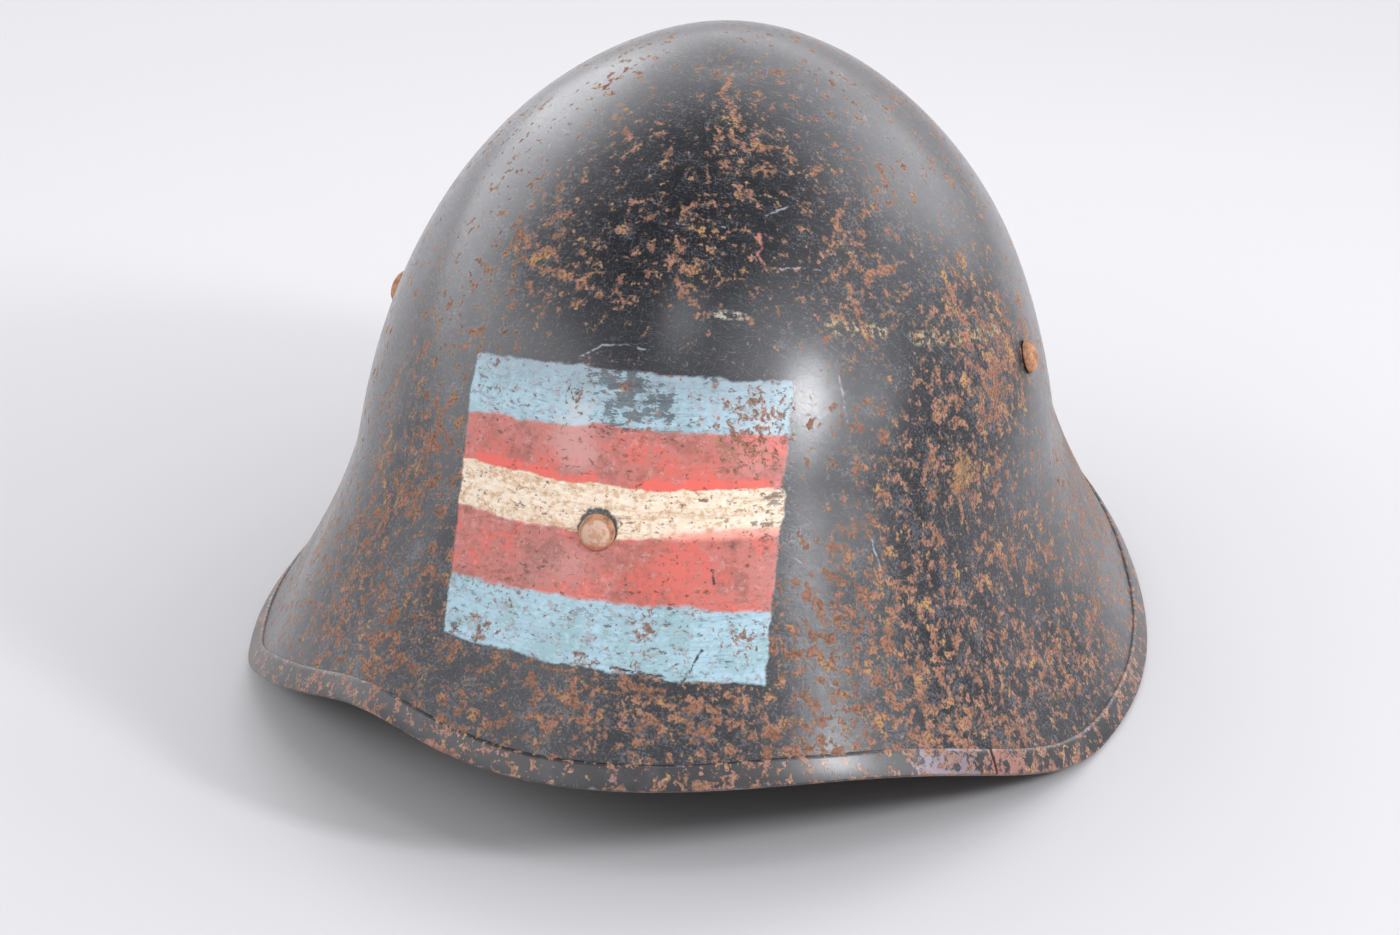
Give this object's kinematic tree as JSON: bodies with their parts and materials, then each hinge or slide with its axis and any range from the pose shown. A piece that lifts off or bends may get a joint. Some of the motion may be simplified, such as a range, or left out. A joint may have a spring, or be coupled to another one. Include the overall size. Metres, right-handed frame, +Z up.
{
  "type": "military helmet",
  "caption": "Deep steel combat helmet with a raised visor, flared sides, neck guard, folded rim strip, riveted leather liner and chinstrap stowed inside.",
  "frame": {"origin": "centre of the helmet's box in plan, on the plane that its side rims rest on", "axes": "the wearer looks along -Y, the wearer's left is +X, +Z is up through the crown"},
  "size_m": [0.2456, 0.2984, 0.1715],
  "materials": {
    "black_paint": "satin black paint, worn and rusted",
    "rusty_steel": "worn paint over rusty steel",
    "rivet_rust": "rusted steel",
    "liner_steel": "dull spring steel",
    "leather": "worn brown leather",
    "strap_leather": "dark brown strap leather",
    "felt": "grey-brown wool felt",
    "lace": "cotton cord",
    "buckle_metal": "dull, tarnished brass"
  },
  "bodies": {
    "helmet": {"shell": "black_paint", "rim_strip": "rusty_steel", "rivet_front": "rivet_rust", "rivet_left": "rivet_rust", "rivet_rear": "rivet_rust", "rivet_right": "rivet_rust", "washer_front": "liner_steel", "washer_left": "liner_steel", "washer_rear": "liner_steel", "washer_right": "liner_steel", "bracket_front": "liner_steel", "bracket_left": "liner_steel", "bracket_rear": "liner_steel", "bracket_right": "liner_steel", "liner_band": "liner_steel", "band_rivet_front": "liner_steel", "band_rivet_left": "liner_steel", "band_rivet_rear": "liner_steel", "band_rivet_right": "liner_steel", "felt_front": "felt", "felt_left": "felt", "felt_rear": "felt", "felt_right": "felt", "headband": "leather", "leaf_1": "leather", "leaf_2": "leather", "leaf_3": "leather", "leaf_4": "leather", "leaf_5": "leather", "leaf_6": "leather", "leaf_7": "leather", "leaf_8": "leather", "crown_lace": "lace", "strap_tab_left": "liner_steel", "strap_tab_right": "liner_steel"},
    "loop_left": {"strap_loop_left": "liner_steel"},
    "loop_right": {"strap_loop_right": "liner_steel"},
    "chinstrap_long_half": {"strap_long": "strap_leather", "strap_rivet_long": "buckle_metal"},
    "chinstrap_short_half": {"strap_short": "strap_leather", "strap_rivet_short": "buckle_metal", "buckle_rivet": "buckle_metal"},
    "buckle": {"buckle_frame": "buckle_metal"},
    "prong": {"buckle_prong": "buckle_metal"},
    "keeper": {"keeper": "strap_leather"}
  },
  "joints": [
    {"name": "loop_left_swing", "type": "hinge", "parent": "helmet", "child": "loop_left", "pos_m": [0.0796, 0, 0.052], "axis": [0, -1, 0], "range_deg": [0, 20]},
    {"name": "loop_right_swing", "type": "hinge", "parent": "helmet", "child": "loop_right", "pos_m": [-0.0796, 0, 0.052], "axis": [0, 1, 0], "range_deg": [0, 20]},
    {"name": "long_strap_swing", "type": "hinge", "parent": "loop_left", "child": "chinstrap_long_half", "pos_m": [0.0796, 0, 0.036], "axis": [0, -1, 0], "range_deg": [0, 125]},
    {"name": "short_strap_swing", "type": "hinge", "parent": "loop_right", "child": "chinstrap_short_half", "pos_m": [-0.0796, 0, 0.036], "axis": [0, 1, 0], "range_deg": [0, 125]},
    {"name": "buckle_swing", "type": "hinge", "parent": "chinstrap_short_half", "child": "buckle", "pos_m": [-0.04304, 0, 0.12031], "axis": [0, 1, 0], "range_deg": [0, 40]},
    {"name": "prong_swing", "type": "hinge", "parent": "buckle", "child": "prong", "pos_m": [-0.04304, 0, 0.12031], "axis": [0, 1, 0], "range_deg": [0, 70]},
    {"name": "keeper_slide", "type": "slide", "parent": "chinstrap_short_half", "child": "keeper", "axis": [0, 0, 1], "range_m": [0, 0.012]}
  ]
}
